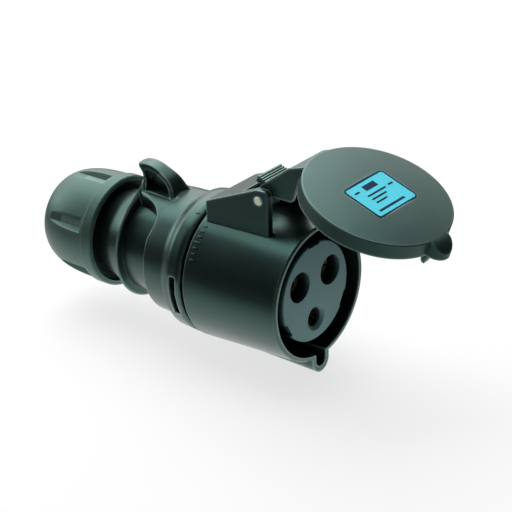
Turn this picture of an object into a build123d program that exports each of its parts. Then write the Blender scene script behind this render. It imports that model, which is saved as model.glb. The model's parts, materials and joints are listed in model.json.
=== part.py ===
"""Black 16 A, 230 V caravan hook-up connector: spring lid, twist-on rear housing, cable gland.

Frame: X is the plug axis with +X out of the mouth, +Z up through the lid hinge, -Z through the
keyway. The origin is on the axis, in the plane of the mouth rim. Every size is in millimetres.
The lid is drawn standing open at lid_rest_angle, and the rear housing is drawn locked.
"""
from build123d import *
import os
from math import asin, atan2, degrees, hypot, sqrt

os.makedirs("parts", exist_ok=True)

# ---- fits ----
running_gap = 0.05            # radial gap of parts that turn or slide on each other
slip_gap = 0.08               # gap of parts pushed together and left there
side_gap = 0.10               # lid arm to each hinge ear
lid_gap = 0.35                # closed lid to the mouth rim

# ---- shroud of the front housing ----
mouth_bore_r = 22.5
shroud_wall = 1.5             # at the rim
shroud_flare = 1.2            # growth in radius from the rim to the twist joint
mouth_depth = 33.0
shoulder_wall = 2.0           # web that the contact carrier seats on
shroud_tail = 5.3             # mouth floor to the shroud's rear end
rim_round = 0.5

# ---- keyway under the mouth ----
key_half_width = 2.7
key_depth = 4.9               # mouth bore to the bottom of the slot
key_wall = 1.7
key_ridge_rise = 0.4          # the ridge stands this much clear of its wall
key_draft = 0.8               # the ridge drops this much from rim to shoulder

# ---- contact carrier ----
skirt_room = 5.0              # radial room round the spigot for the plug's skirt
spigot_setback = 1.65         # rim plane to carrier face
spigot_step = 0.3             # the spigot is smaller where it passes the shoulder
carrier_base_step = 2.45      # growth in radius from the spigot to the base
carrier_base_length = 9.0
pin_circle_share = 0.54       # pin circle, as a share of the spigot radius
live_spread_share = 0.8677    # line or neutral contact sideways, as a share of the pin circle
earth_extra_drop = 0.35       # the earth contact is this much further out
live_opening_r = 5.25
earth_opening_r = 3.3
earth_dish_r = 4.6
earth_dish_depth = 1.0
notch_width = 5.5
notch_depth = 1.0
notch_length = 5.0
notch_count = 3

# ---- contacts ----
live_pin_r = 2.5              # 5 mm line and neutral pins
earth_pin_r = 3.0             # 6 mm earth pin
sleeve_r = 4.2
sleeve_setback = 4.5          # carrier face to sleeve end
earth_sleeve_setback = 2.9
sleeve_slot = 0.6
sleeve_slot_length = 13.0
pin_depth = 30.0
terminal_length = 10.5        # behind the retainer
wire_bore_r = 2.1
clip_wall = 0.45
clip_width = 1.6
clip_setback = 3.0
terminal_screw_r = 1.75
terminal_head_rim = 0.9
terminal_head_height = 1.8
retainer_thickness = 2.0
retainer_screw_r = 1.5
retainer_screw_head_r = 2.8
retainer_screw_depth = 5.5
screw_slot = 0.7

# ---- hinge bracket ----
hinge_setback = 15.05         # rim plane to the pin axis
hinge_rise = 9.66             # rim's outer radius to the pin axis
hinge_pin_r = 1.6
ear_inner = 9.3
ear_wall = 2.45
ear_splay = 1.45              # the bracket is this much wider to each side at its rear
bracket_front = 3.75          # pin axis to the ears' front ends
bracket_setback = 1.9         # shroud's rear end to the bracket's rear end
bracket_head = 3.69           # pin axis to the bracket's top
bracket_rear_rise = 3.8       # shroud's rear radius to the roof's rear end
roof_knee = 0.95              # pin axis back to the end of the level roof
roof_wall = 2.0
roof_edge_r = 7.7             # roof front edge, measured from the pin axis

# ---- lid arm ----
knuckle_r = 3.7
knuckle_length = 4.7
arm_wall = 1.7
arm_rise = 2.9                # lid radius to the arm's top wall at the rim
arm_shoulder = 3.45           # pin axis to where the arm's back turns down to the rim
arm_shoulder_drop = 1.2
arm_heel = 2.85               # pin axis to the front of its underside
arm_throat = 5.45             # pin axis to where its underside turns along the shroud
arm_underside = 2.4           # lid radius to the underside
arm_root = 7.0                # lid radius to its inner end on the face
arm_toe = 2.8                 # lid radius to the end of its back on the face
cheek_length = 4.45           # pin axis to the hollow
arm_hollow_drop = 0.36        # pin axis down to the hollow's top at that end
lever_half_width = 6.1
lever_foot = 1.75             # pin axis to the lever's back
lever_thickness = 2.1
lever_height = 6.14
rib_pitch = 0.95
rib_depth = 0.45
rib_width = 0.5
rib_count = 3

# ---- lid ----
lid_rest_angle = 70.0
lid_overhang = 1.0            # lid radius past the rim
lid_drop = 0.6                # lid centre below the axis
lid_edge_x = 5.65
lid_crown_x = 6.9
lid_wall = 2.0
lid_draft = 0.05              # the skirt narrows this much towards the face
lid_edge_round = 0.35
gasket_overlap = 0.7          # gasket past the mouth bore
gasket_width = 2.0
gasket_height = 2.65
nose_half_width = 4.75
nose_cover = 3.0              # nose tip past the bottom of the keyway
nose_tip_x = 2.6
nose_fall = 0.8               # slope of the nose at its tip
nose_taper = 2.0              # draft of its sides, degrees
hook_half_width = 1.2
hook_reach = 5.6              # below the rim plane with the lid closed
hook_inset = 0.2              # hook's inner face inside the mouth bore
hook_clearance = 2.3          # hook to the bottom of the keyway
label_width = 20.7
label_height = 15.7
label_corner = 1.6
label_thickness = 0.35
label_sink = 0.2              # label face below the crown
label_z = -1.3

# ---- lid spring ----
spring_wire_r = 0.22
coil_room = 0.3               # pin to the inside of the coil
spring_whole_turns = 4
wire_sides = 6
spring_pitch = 0.6
lever_leg = 5.0
lever_leg_angle = 210.0       # direction of the lever's leg, from +X up towards +Z
roof_leg_hold = 1.9           # roof's front edge to where the other leg bears on it
leg_contact = 0.06            # leg to the roof

# ---- twist joint ----
seam_gap = 1.4                # front housing to locking ring
spigot_wall = 1.5
lug_height = 1.3
lug_span = 18.0               # degrees
lug_angle = 106.0             # first lug, degrees from the top towards the near side
lug_width = 2.2
lug_axial_play = 0.25
lug_setback = 4.75            # shroud's rear end to the middle of the lugs
lug_count = 3
twist_travel = 30.0
window_span = 34.0
seal_thickness = 1.5
seal_width = 1.7

# ---- rear housing ----
ring_length = 7.2
ring_draft = 0.4
ring_round = 0.5
barrel_wall = 0.82            # over the socket of the twist joint
barrel_draft = 0.6
barrel_length = 11.1
groove_length = 12.6
groove_depth = 4.5
groove_wall_run = 2.4         # length of the groove's sloping front wall
collar_width = 1.8
collar_rise = 2.9             # over the groove's floor
collar_round = 0.6
flare_length = 13.6
flare_waist = 2.1             # the flare ends this much under the groove's floor
shell_wall = 2.2
thread_rise = 1.7
thread_run_in = 2.0
thread_length = 12.0

# ---- finger fin ----
fin_angle = 3.0               # degrees from the top towards the near side
fin_height = 8.35             # over the barrel
fin_reach = 15.4              # foot to the collar's rear face
fin_foot_half_width = 4.9
fin_tip_half_width = 2.4
fin_pad_half_width = 2.55     # where the rounding of the tip begins
fin_web = 1.8
web_half_width = 5.8          # full-height material under the fin
web_flare = 9.5               # extra half width where it runs into the barrel
web_slope = 0.5               # its sides widen this much for each millimetre down

# ---- cable gland ----
nut_lap = 1.1                 # nut mouth over the end of the flare
nut_band = 4.2
nut_band_rise = 0.5
nut_wall = 3.1                # thread to the nut's outside
nut_mouth_room = 1.4
nut_dome_length = 13.4        # past the end of the thread
nut_eye_r = 11.2
cable_hole_r = 8.2
flute_count = 6
flute_angle = 7.1             # first flute, degrees from the top towards the near side
flute_depth = 1.9
flute_floor_half_width = 1.3
flute_setback = 1.3           # band to the flutes' square ends
cage_wall = 2.2
cage_clearance = 2.9          # cage to the outside of the thread
cage_seat = 10.0              # depth of the cage in the spigot
cage_finger_reach = 8.6
cage_finger_count = 8
cage_slot = 1.6
seal_bore_r = 6.2             # grips a 12.3 mm cable
seal_length = 15.0
thrust_ring_length = 2.2

# ---- radii that follow ----
shroud_front_r = mouth_bore_r + shroud_wall
shroud_rear_r = shroud_front_r + shroud_flare
key_tip = mouth_bore_r + key_depth
key_ridge_tip = key_tip + key_wall + key_ridge_rise
spigot_r = mouth_bore_r - skirt_room
spigot_neck_r = spigot_r - spigot_step
carrier_base_r = spigot_r + carrier_base_step
joint_r = carrier_base_r + slip_gap + spigot_wall
socket_r = joint_r + running_gap
cavity_r = socket_r - seal_width - 0.2
ring_front_r = shroud_rear_r - 0.2
ring_rear_r = ring_front_r - ring_draft
barrel_front_r = socket_r + barrel_wall
barrel_rear_r = barrel_front_r - barrel_draft
neck_r = barrel_rear_r - groove_depth
collar_r = neck_r + collar_rise
flare_end_r = neck_r - flare_waist
thread_r = flare_end_r + thread_rise
cage_r = thread_r - cage_clearance
nut_front_r = thread_r + nut_wall
nut_dome_r = nut_front_r - nut_band_rise
flute_floor_r = nut_dome_r - flute_depth
lid_r = shroud_front_r + lid_overhang
gasket_outer_r = mouth_bore_r + gasket_overlap
gasket_inner_r = gasket_outer_r - gasket_width
nose_tip = key_tip + nose_cover

# ---- stations along X that follow ----
shroud_length = mouth_depth + shroud_tail
shoulder_x = -mouth_depth - shoulder_wall
carrier_rear_x = shoulder_x - carrier_base_length
retainer_front_x = carrier_rear_x - slip_gap
retainer_rear_x = retainer_front_x - retainer_thickness
joint_end_x = retainer_rear_x - 0.1
seal_front_x = joint_end_x - running_gap
seal_rear_x = seal_front_x - seal_thickness
seat_x = seal_rear_x - running_gap
lug_centre_x = -shroud_length - lug_setback
ring_front_x = -shroud_length - seam_gap
ring_end_x = ring_front_x - ring_length
groove_front_x = ring_end_x - barrel_length
groove_rear_x = groove_front_x - groove_length
collar_x = groove_rear_x - collar_width
flare_end_x = collar_x - flare_length
thread_front_x = flare_end_x - thread_run_in
thread_end_x = thread_front_x - thread_length
nut_front_x = flare_end_x + nut_lap
nut_band_x = nut_front_x - nut_band
nut_end_x = thread_end_x - nut_dome_length
cage_front_x = thread_end_x + cage_seat
cage_finger_end_x = thread_end_x - cage_finger_reach
fin_foot_x = collar_x + fin_reach

# ---- hinge and bracket places that follow ----
hinge_x = -hinge_setback
hinge_z = shroud_front_r + hinge_rise
ear_outer = ear_inner + ear_wall
ear_outer_rear = ear_outer + ear_splay
arm_half_width = ear_inner - side_gap
bracket_front_x = hinge_x + bracket_front
bracket_rear_x = bracket_setback - shroud_length
bracket_top = hinge_z + bracket_head
bracket_rear_z = shroud_rear_r + bracket_rear_rise
roof_knee_x = hinge_x - roof_knee
roof_slope = (bracket_top - bracket_rear_z) / (roof_knee_x - bracket_rear_x)
pin_circle_r = pin_circle_share * spigot_r
live_spread = live_spread_share * pin_circle_r
CONTACTS = {
    "line": (-live_spread, sqrt(pin_circle_r ** 2 - live_spread ** 2)),
    "neutral": (live_spread, sqrt(pin_circle_r ** 2 - live_spread ** 2)),
    "earth": (0.0, -pin_circle_r - earth_extra_drop),
}


# ---- helpers ----
def turned(points):
    """Solid turned about the X axis from a closed outline of (x, radius) points."""
    return revolve(Plane.XZ * make_face(Polyline(*points, close=True)), Axis.X)


def drum(x_front, x_rear, radius, y=0.0, z=0.0):
    """Cylinder along X between two stations."""
    section = Plane.YZ.offset(x_rear) * Pos(y, z) * Circle(radius)
    return extrude(section, x_front - x_rear)


def ring(x_front, x_rear, outer, inner, y=0.0, z=0.0):
    """Tube along X between two stations."""
    return drum(x_front, x_rear, outer, y, z) - drum(x_front + 1, x_rear - 1, inner, y, z)


def block(x0, x1, y0, y1, z0, z1):
    """Box between two corners."""
    return Pos((x0 + x1) / 2, (y0 + y1) / 2, (z0 + z1) / 2) * Box(x1 - x0, y1 - y0, z1 - z0)


def side_plate(points, half_width):
    """Outline of (x, z) points drawn out to both sides of the middle plane."""
    return extrude(Plane.XZ * make_face(Polyline(*points, close=True)), half_width, both=True)


def around(shape, angle):
    """Turn about X by an angle that counts from the top towards the near side (-Y)."""
    return shape.rotate(Axis.X, angle)


def sector(x_front, x_rear, outer, inner, start, span):
    """Part of a ring, from one angle over a span, both counted from the top to the near side."""
    outline = Polyline((x_rear, inner), (x_front, inner), (x_front, outer), (x_rear, outer), close=True)
    piece = revolve(Plane.XZ * make_face(outline), Axis.X, revolution_arc=span)
    return around(piece, start)


def open_lid(shape):
    """Swing a piece of the closed lid to the rest position."""
    return shape.rotate(Axis((hinge_x, 0, hinge_z), (0, -1, 0)), lid_rest_angle)


def pin_line(radius, half_length):
    """Cylinder on the lid hinge axis."""
    return Pos(hinge_x, 0, hinge_z) * Rot(90, 0, 0) * Cylinder(radius, 2 * half_length)


def roof_z(x):
    """Height of the bracket roof at a station."""
    return bracket_rear_z + roof_slope * (x - bracket_rear_x)


# ---- front housing ----
def key_section(x, half_width, tip):
    """Round-ended keyway section below the axis, on a plane across X."""
    centre = -(tip - half_width)
    top = -(shroud_front_r - 5)
    stem = Pos(0, (centre + top) / 2) * Rectangle(2 * half_width, top - centre)
    return Plane.YZ.offset(x) * (stem + Pos(0, centre) * Circle(half_width))


def key_ridge():
    """Ridge that carries the keyway along the underside of the shroud."""
    outer = key_half_width + key_wall - 0.1
    front = key_section(0, outer, key_ridge_tip)
    rear = key_section(-mouth_depth, outer, key_ridge_tip - key_draft)
    run_out = key_section(-shroud_length + 1, outer, shroud_rear_r + key_ridge_rise)
    return loft([front, rear]) + loft([rear, run_out])


def bracket_plan(front_half_width, splay, rear_x):
    """Plan of the bracket from its front to a rear station, wider to each side at the rear."""
    outline = Polyline(
        (bracket_front_x, -front_half_width),
        (bracket_front_x, front_half_width),
        (rear_x, front_half_width + splay),
        (rear_x, -front_half_width - splay),
        close=True,
    )
    return extrude(make_face(outline), bracket_top + 5)


def bracket_block():
    """Hinge bracket as a solid: its side view cut to its plan, with rounded outer edges."""
    low = sqrt(mouth_bore_r ** 2 - ear_outer_rear ** 2)
    top = FilletPolyline(
        (bracket_rear_x, low),
        (bracket_rear_x, bracket_rear_z),
        (roof_knee_x, bracket_top),
        (bracket_front_x, bracket_top),
        (bracket_front_x, low),
        radius=[0.8, 3.0, 1.8],
    )
    outline = make_face([top, Line((bracket_front_x, low), (bracket_rear_x, low))])
    body = extrude(Plane.XZ * outline, ear_outer_rear + 1, both=True)
    body &= bracket_plan(ear_outer, ear_splay, bracket_rear_x)
    rim = [e for e in body.edges() if abs(e.center().Y) > ear_inner and e.center().Z > low + 1]
    return fillet(rim, 0.5)


def bracket_pocket():
    """Room between the ears, under the roof and in front of its edge."""
    rear_x = bracket_rear_x + ear_wall
    under_roof = side_plate(
        [
            (rear_x, 0.0),
            (rear_x, roof_z(rear_x) - roof_wall),
            (hinge_x, roof_z(hinge_x) - roof_wall),
            (hinge_x, 0.0),
        ],
        ear_outer_rear,
    )
    under_roof &= bracket_plan(ear_inner, ear_splay, rear_x)
    in_front = block(hinge_x, bracket_front_x + 5, -ear_inner, ear_inner, 0.0, bracket_top + 5)
    return under_roof + in_front + pin_line(roof_edge_r, ear_inner)


def front_housing():
    """Shroud, keyway, hinge bracket and the spigot of the twist joint in one moulding."""
    body = turned(
        [
            (joint_end_x, 0),
            (joint_end_x, joint_r),
            (-shroud_length, joint_r),
            (-shroud_length, shroud_rear_r - rim_round),
            (-shroud_length + rim_round, shroud_rear_r),
            (-rim_round, shroud_front_r),
            (0, shroud_front_r - rim_round),
            (0, 0),
        ]
    )
    body += bracket_block() - (bracket_pocket() - drum(0, -shroud_length, shroud_front_r))
    body += key_ridge()
    body -= drum(1, -mouth_depth, mouth_bore_r)
    body -= extrude(key_section(-mouth_depth, key_half_width, key_tip), mouth_depth + 1)
    body -= drum(1, shoulder_x - 1, spigot_neck_r + slip_gap)
    body -= drum(shoulder_x, joint_end_x - 1, carrier_base_r + slip_gap)
    body -= pin_line(hinge_pin_r + 0.01, ear_outer_rear)
    for n in range(lug_count):
        lug = sector(
            lug_centre_x + lug_width / 2,
            lug_centre_x - lug_width / 2,
            joint_r + lug_height,
            joint_r - 0.5,
            lug_angle - lug_span / 2,
            lug_span,
        )
        body += around(lug, 360 / lug_count * n)
    return body


# ---- contact carrier and what it holds ----
def contact_carrier():
    """Grey insert: a spigot with three openings on a base that seats behind the shoulder."""
    face_x = -spigot_setback
    floor_x = -mouth_depth + running_gap
    body = turned(
        [
            (face_x, 0),
            (face_x, spigot_r - 0.3),
            (face_x - 0.3, spigot_r),
            (floor_x, spigot_r),
            (floor_x, spigot_neck_r),
            (shoulder_x, spigot_neck_r),
            (shoulder_x, carrier_base_r),
            (carrier_rear_x, carrier_base_r),
            (carrier_rear_x, 0),
        ]
    )
    for name, (y, z) in CONTACTS.items():
        opening_r = earth_opening_r if name == "earth" else live_opening_r
        setback = earth_sleeve_setback - 0.3 if name == "earth" else 0.0
        bore_x = face_x - setback
        body -= drum(1, face_x - 6, opening_r, y, z)
        body -= drum(bore_x, shoulder_x + 8, live_opening_r, y, z)
        body -= drum(bore_x, carrier_rear_x - 1, sleeve_r + running_gap, y, z)
    dish = turned(
        [
            (face_x + 0.1, 0),
            (face_x + 0.1, earth_dish_r),
            (face_x, earth_dish_r),
            (face_x - earth_dish_depth, earth_opening_r),
            (face_x - earth_dish_depth, 0),
        ]
    )
    body -= Pos(0, *CONTACTS["earth"]) * dish
    for n in range(notch_count):
        notch = block(
            face_x - notch_length,
            face_x + 1,
            -notch_width / 2,
            notch_width / 2,
            spigot_r - notch_depth,
            spigot_r + 2,
        )
        body -= around(notch, 360 / notch_count * n)
    body -= drum(carrier_rear_x + retainer_screw_depth + 0.5, carrier_rear_x - 1, retainer_screw_r)
    return body


def sleeve_front(name):
    """Station of the front end of a contact's sleeve."""
    return -spigot_setback - (earth_sleeve_setback if name == "earth" else sleeve_setback)


def outward_angle(name):
    """Angle from the top, towards the near side, at which a contact faces outwards."""
    return {"line": 60.0, "neutral": -60.0, "earth": 180.0}[name]


def contact(name):
    """Slotted brass sleeve with its screw terminal at the rear."""
    y, z = CONTACTS[name]
    pin_r = earth_pin_r if name == "earth" else live_pin_r
    front = sleeve_front(name)
    rear = retainer_rear_x - terminal_length
    body = drum(front, rear, sleeve_r)
    body -= drum(front + 1, front - pin_depth, pin_r + running_gap)
    for turn in (45, 135):
        slot = block(
            front - sleeve_slot_length,
            front + 1,
            -sleeve_r - 1,
            sleeve_r + 1,
            -sleeve_slot / 2,
            sleeve_slot / 2,
        )
        body -= slot.rotate(Axis.X, turn)
    body -= drum(rear + terminal_length - 1.5, rear - 1, wire_bore_r)
    screw_x = rear + terminal_length / 2
    body -= Pos(screw_x, 0, sleeve_r / 2 + 1) * Cylinder(terminal_screw_r, sleeve_r + 2)
    return Pos(0, y, z) * body.rotate(Axis.X, outward_angle(name))


def terminal_screw(name):
    """Cheese-head screw that clamps the wire in its terminal."""
    y, z = CONTACTS[name]
    x = retainer_rear_x - terminal_length / 2
    tip = sleeve_r / 3
    under_head = sleeve_r + 0.3
    upright = (Align.CENTER, Align.CENTER, Align.MIN)
    shank = Pos(x, 0, tip) * Cylinder(terminal_screw_r - running_gap, under_head - tip, align=upright)
    head = Cylinder(terminal_screw_r + terminal_head_rim, terminal_head_height, align=upright)
    drive = block(x - 4, x + 4, -screw_slot / 2, screw_slot / 2, under_head + 1, under_head + 4)
    body = shank + Pos(x, 0, under_head) * head - drive
    return Pos(0, y, z) * body.rotate(Axis.X, outward_angle(name))


def contact_clip(name):
    """Open steel ring that keeps the slotted sleeve closed on the pin."""
    y, z = CONTACTS[name]
    inner = sleeve_r + 0.01
    x = sleeve_front(name) - clip_setback
    body = ring(x, x - clip_width, inner + clip_wall, inner)
    gap = block(x - clip_width - 1, x + 1, -sleeve_slot, sleeve_slot, 0, sleeve_r * 2)
    return Pos(0, y, z) * (body - gap)


def contact_retainer():
    """Plate that holds the three contacts in the carrier."""
    body = drum(retainer_front_x, retainer_rear_x, carrier_base_r - 0.4)
    for y, z in CONTACTS.values():
        body -= drum(0, retainer_rear_x - 1, sleeve_r + running_gap, y, z)
    body -= drum(0, retainer_rear_x - 1, retainer_screw_r + running_gap)
    return body


def retainer_screw():
    """Pan-head screw through the middle of the retainer."""
    head_end_x = retainer_rear_x - terminal_head_height
    shank = drum(carrier_rear_x + retainer_screw_depth, retainer_rear_x, retainer_screw_r - 0.02)
    head = drum(retainer_rear_x, head_end_x, retainer_screw_head_r)
    slot = block(head_end_x - 1, head_end_x + 0.8, -4, 4, -screw_slot / 2, screw_slot / 2)
    return shank + head - slot


def coupling_seal():
    """Flat ring between the spigot end and the seat in the rear housing."""
    return ring(seal_front_x, seal_rear_x, joint_r - 0.1, joint_r - seal_width)


# ---- lid ----
def lid_crown():
    """Arc of the lid face in its side view, from the edge to the middle."""
    return ThreePointArc(
        (lid_edge_x, lid_r - lid_edge_round),
        (lid_crown_x - (lid_crown_x - lid_edge_x) / 4, (lid_r - lid_edge_round) / 2),
        (lid_crown_x, 0),
    )


def lid_disc():
    """Crowned disc with its drafted skirt and rounded edge."""
    crown = lid_crown()
    skirt_top = (lid_edge_x - lid_edge_round, lid_r - lid_draft)
    edge = TangentArc(crown @ 0, skirt_top, tangent=crown % 0 * -1)
    skirt = Polyline(skirt_top, (lid_gap, lid_r), (lid_gap, 0), (lid_crown_x, 0))
    return Pos(0, 0, -lid_drop) * revolve(Plane.XZ * make_face([crown, edge, skirt]), Axis.X)


def lid_nose():
    """Beak over the keyway: the lid face runs on and falls away to its tip."""
    nose_r = nose_tip - lid_drop
    crown = lid_crown()
    fall = Spline((nose_tip_x, nose_r), crown @ 0, tangents=[(nose_fall, -1.0), crown % 0])
    floor = Polyline(
        (lid_crown_x, 0),
        (0, 0),
        (0, nose_r + 1),
        (nose_tip_x - nose_fall, nose_r + 1),
        (nose_tip_x, nose_r),
    )
    under_face = Pos(0, 0, -lid_drop) * revolve(Plane.XZ * make_face([fall, crown, floor]), Axis.X)
    plan = key_section(lid_gap, nose_half_width, nose_tip)
    body = extrude(plan, lid_crown_x, taper=nose_taper) & under_face
    rim = [
        e
        for e in body.edges()
        if e.bounding_box().min.X > nose_tip_x - nose_fall
        and (abs(e.center().Y) > nose_half_width / 2 or e.center().Z < -nose_tip + 1)
    ]
    return fillet(rim, lid_edge_round)


def lid_arm():
    """Hollow arm from the pin to the lid, with the ribbed thumb lever over the pin."""
    root_z = lid_r - arm_root
    under_z = lid_r - arm_underside
    sunk_x = lid_edge_x - 0.3
    outline = FilletPolyline(
        (hinge_x, hinge_z + knuckle_r),
        (hinge_x + arm_shoulder, hinge_z + knuckle_r - arm_shoulder_drop),
        (1.0, lid_r + arm_rise),
        (sunk_x, lid_r - arm_toe),
        (sunk_x, root_z),
        (lid_gap, root_z),
        (lid_gap, under_z),
        (hinge_x + arm_throat, under_z),
        (hinge_x + arm_heel, hinge_z - knuckle_r),
        (hinge_x, hinge_z),
        radius=[2.0, 3.0, 0.5, 0.2, 0.2, 0.2, 2.2, 2.0],
    )
    side = make_face([outline, Line((hinge_x, hinge_z), (hinge_x, hinge_z + knuckle_r))])
    body = extrude(Plane.XZ * side, arm_half_width, both=True)
    body += pin_line(knuckle_r, arm_half_width)
    lever_back = hinge_x + lever_foot
    lever_front = lever_back + lever_thickness
    lever_top = hinge_z + lever_height
    body += block(lever_back, lever_front, -lever_half_width, lever_half_width, hinge_z + 1.0, lever_top)
    for n in range(rib_count):
        z = lever_top - rib_pitch * (n + 0.75)
        body -= block(
            lever_front - rib_depth,
            lever_front + 1,
            -lever_half_width - 1,
            lever_half_width + 1,
            z - rib_width,
            z,
        )
    return body


def arm_hollow():
    """Room inside the arm: between its cheeks, under its top wall, open below."""
    low = lid_r - arm_root - 3
    rear_x = hinge_x + cheek_length
    inside = side_plate(
        [
            (rear_x, low),
            (rear_x, hinge_z - arm_hollow_drop),
            (lid_gap, lid_r + arm_rise - arm_wall),
            (lid_gap, low),
        ],
        arm_half_width - arm_wall,
    )
    return inside + pin_line(knuckle_r + running_gap, arm_half_width - knuckle_length)


def catch_hook():
    """Hook inside the lid that holds on a mated plug, ramped on its outer face."""
    near = -(mouth_bore_r - hook_inset)
    far = -(key_tip - hook_clearance)
    return side_plate(
        [
            (lid_edge_x - 0.5, near),
            (lid_edge_x - 0.5, far),
            (-hook_reach / 3, far),
            (-hook_reach, far + 1.2),
            (-hook_reach, near - 0.8),
            (-hook_reach + 0.8, near),
        ],
        hook_half_width,
    )


def label_blank(x0, x1, grow):
    """Rounded rectangle on the lid face between two stations."""
    outline = RectangleRounded(label_width + 2 * grow, label_height + 2 * grow, label_corner + grow)
    return extrude(Plane.YZ.offset(x0) * Pos(0, label_z) * outline, x1 - x0)


def lid():
    """Hinged lid with skirt, nose, catch hook and hollow arm."""
    body = lid_disc() + lid_nose() + lid_arm()
    body -= arm_hollow()
    body -= drum(lid_gap, hinge_x - 1, shroud_front_r + lid_gap)
    body -= drum(gasket_height + lid_gap, 0, gasket_outer_r + running_gap)
    body -= drum(lid_edge_x - lid_wall + 0.4, 0, gasket_inner_r - 0.6)
    body -= extrude(key_section(0, key_half_width + 1.2, key_tip + 1.2), gasket_height + lid_gap)
    body += catch_hook()
    body -= pin_line(hinge_pin_r + running_gap, arm_half_width + 1)
    pocket_x = lid_crown_x - label_sink - label_thickness
    body -= label_blank(pocket_x, lid_crown_x + 1, slip_gap)
    return open_lid(body)


def lid_label():
    """Blank plate let into the lid face."""
    face_x = lid_crown_x - label_sink
    return open_lid(label_blank(face_x - label_thickness, face_x, 0.0))


def lid_gasket():
    """Seal in the lid that presses on the rim and follows the keyway."""
    key_outer = 1.2 - running_gap
    key_inner = 0.6
    outer = Plane.YZ.offset(lid_gap) * Circle(gasket_outer_r) + key_section(
        lid_gap, key_half_width + key_outer, key_tip + key_outer
    )
    inner = Plane.YZ.offset(lid_gap) * Circle(gasket_inner_r) + key_section(
        lid_gap, key_half_width - key_inner, key_tip - key_inner
    )
    return open_lid(extrude(outer - inner, gasket_height - running_gap))


def hinge_pin():
    """Steel pin across both ears, with chamfered ends."""
    body = pin_line(hinge_pin_r, ear_outer + 0.45)
    return chamfer(body.edges(), 0.3)


def lid_spring():
    """Torsion spring round the pin, drawn wound as with the lid fully open."""
    coil_r = hinge_pin_r + coil_room + spring_wire_r
    tip_back = roof_edge_r + roof_leg_hold
    tip_drop = hinge_z - roof_z(hinge_x - tip_back) + roof_wall + spring_wire_r + leg_contact
    tip_distance = hypot(tip_back, tip_drop)
    roof_leg = sqrt(tip_distance ** 2 - coil_r ** 2)
    start_angle = 270 + degrees(atan2(tip_drop, tip_back) - asin(coil_r / tip_distance))
    end_angle = lever_leg_angle - 90
    turns = spring_whole_turns + (end_angle - start_angle) % 360 / 360
    height = turns * spring_pitch
    path = Helix(spring_pitch, height, coil_r)
    wire = RegularPolygon(spring_wire_r, wire_sides)
    coil = sweep(Plane(origin=path @ 0, z_dir=path % 0) * wire, path)
    start = Plane(origin=path @ 0, z_dir=-(path % 0)) * wire
    end = Plane(origin=path @ 1, z_dir=path % 1) * wire
    body = coil + extrude(start, roof_leg) + extrude(end, lever_leg)
    body = Rot(0, 0, start_angle) * Pos(0, 0, -height / 2) * body
    return Pos(hinge_x, 0, hinge_z) * Rot(90, 0, 0) * body


# ---- rear housing ----
def rear_profile(neck):
    """Half section of the rear housing's outside, over a given line along the neck."""
    flare = Spline(
        (collar_x - collar_round, collar_r - 1.3),
        (collar_x - flare_length / 3, (collar_r + 2 * flare_end_r) / 3 + 0.5),
        (flare_end_x, flare_end_r),
        tangents=[(-0.6, -1.0), (-1.0, -0.05)],
    )
    rear = Polyline(
        flare @ 1,
        (thread_front_x, flare_end_r),
        (thread_front_x - 0.8, thread_r),
        (thread_end_x, thread_r),
        (thread_end_x, 0),
        (ring_front_x, 0),
        (ring_front_x, ring_front_r - ring_round),
        (ring_front_x - ring_round, ring_front_r),
        (ring_end_x, ring_rear_r),
        (ring_end_x - 0.7, barrel_front_r),
        neck @ 0,
    )
    collar = Polyline(
        neck @ 1,
        (collar_x, collar_r),
        (collar_x - collar_round, collar_r - collar_round),
        flare @ 0,
    )
    return make_face([flare, rear, neck, collar])


def grooved_neck():
    """Barrel end and finger groove: rounded edge, sloping wall, rounded foot."""
    wall_foot_x = groove_front_x - groove_wall_run
    return FilletPolyline(
        (groove_front_x + 2, barrel_rear_r + barrel_draft * 2 / barrel_length),
        (groove_front_x, barrel_rear_r),
        (wall_foot_x, neck_r),
        (groove_rear_x + 0.8, neck_r),
        (groove_rear_x, collar_r - 1.5),
        radius=[1.2, 2.0, 0.5],
    )


def full_neck():
    """The neck as it would be with no groove."""
    return Polyline(
        (groove_front_x + 2, barrel_rear_r + barrel_draft * 2 / barrel_length),
        (groove_front_x, barrel_rear_r),
        (groove_rear_x, barrel_rear_r),
    )


def neck_web():
    """Material left at full radius under the fin, flaring into the barrel, with sloping sides."""
    sections = []
    for z in (barrel_rear_r, neck_r / 2):
        spread = web_half_width + web_slope * (barrel_rear_r - z)
        side = Spline(
            (collar_x, spread),
            (groove_rear_x + groove_length * 0.3, spread + web_flare * 0.03),
            (groove_front_x - groove_length * 0.2, spread + web_flare * 0.34),
            (groove_front_x + 0.5, spread + web_flare),
            tangents=[(1.0, 0.0), (0.3, 1.0)],
        )
        far = mirror(side, Plane.XZ)
        outline = make_face([side, far, Line(side @ 0, far @ 0), Line(side @ 1, far @ 1)])
        sections.append(Pos(0, 0, z) * outline)
    prism = loft(sections) + extrude(sections[0], fin_height)
    return prism & revolve(Plane.XZ * rear_profile(full_neck()), Axis.X)


def peak_face(x, radius):
    """Section of the collar where it rises into the fin, for a given rim radius."""
    half = Polyline(
        (0.0, 0.6 * radius),
        (0.77 * radius, 0.638 * radius),
        (0.575 * radius, 0.86 * radius),
        (0.18 * radius, 1.125 * radius),
        (0.14 * radius, 1.2 * radius),
        (0.0, 1.2 * radius),
        close=True,
    )
    face = make_face(half)
    return Plane.YZ.offset(x) * (face + mirror(face, Plane.YZ))


def collar_peak():
    """Collar's rise into the fin, drawn to both sides of it."""
    return loft([peak_face(collar_x, collar_r), peak_face(groove_rear_x, collar_r - 1.5)])


def fin_point(along, up):
    """Point of the fin's side view: shares of its reach from the foot and of its height."""
    return (fin_foot_x - along * fin_reach, barrel_rear_r + up * fin_height)


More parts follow.
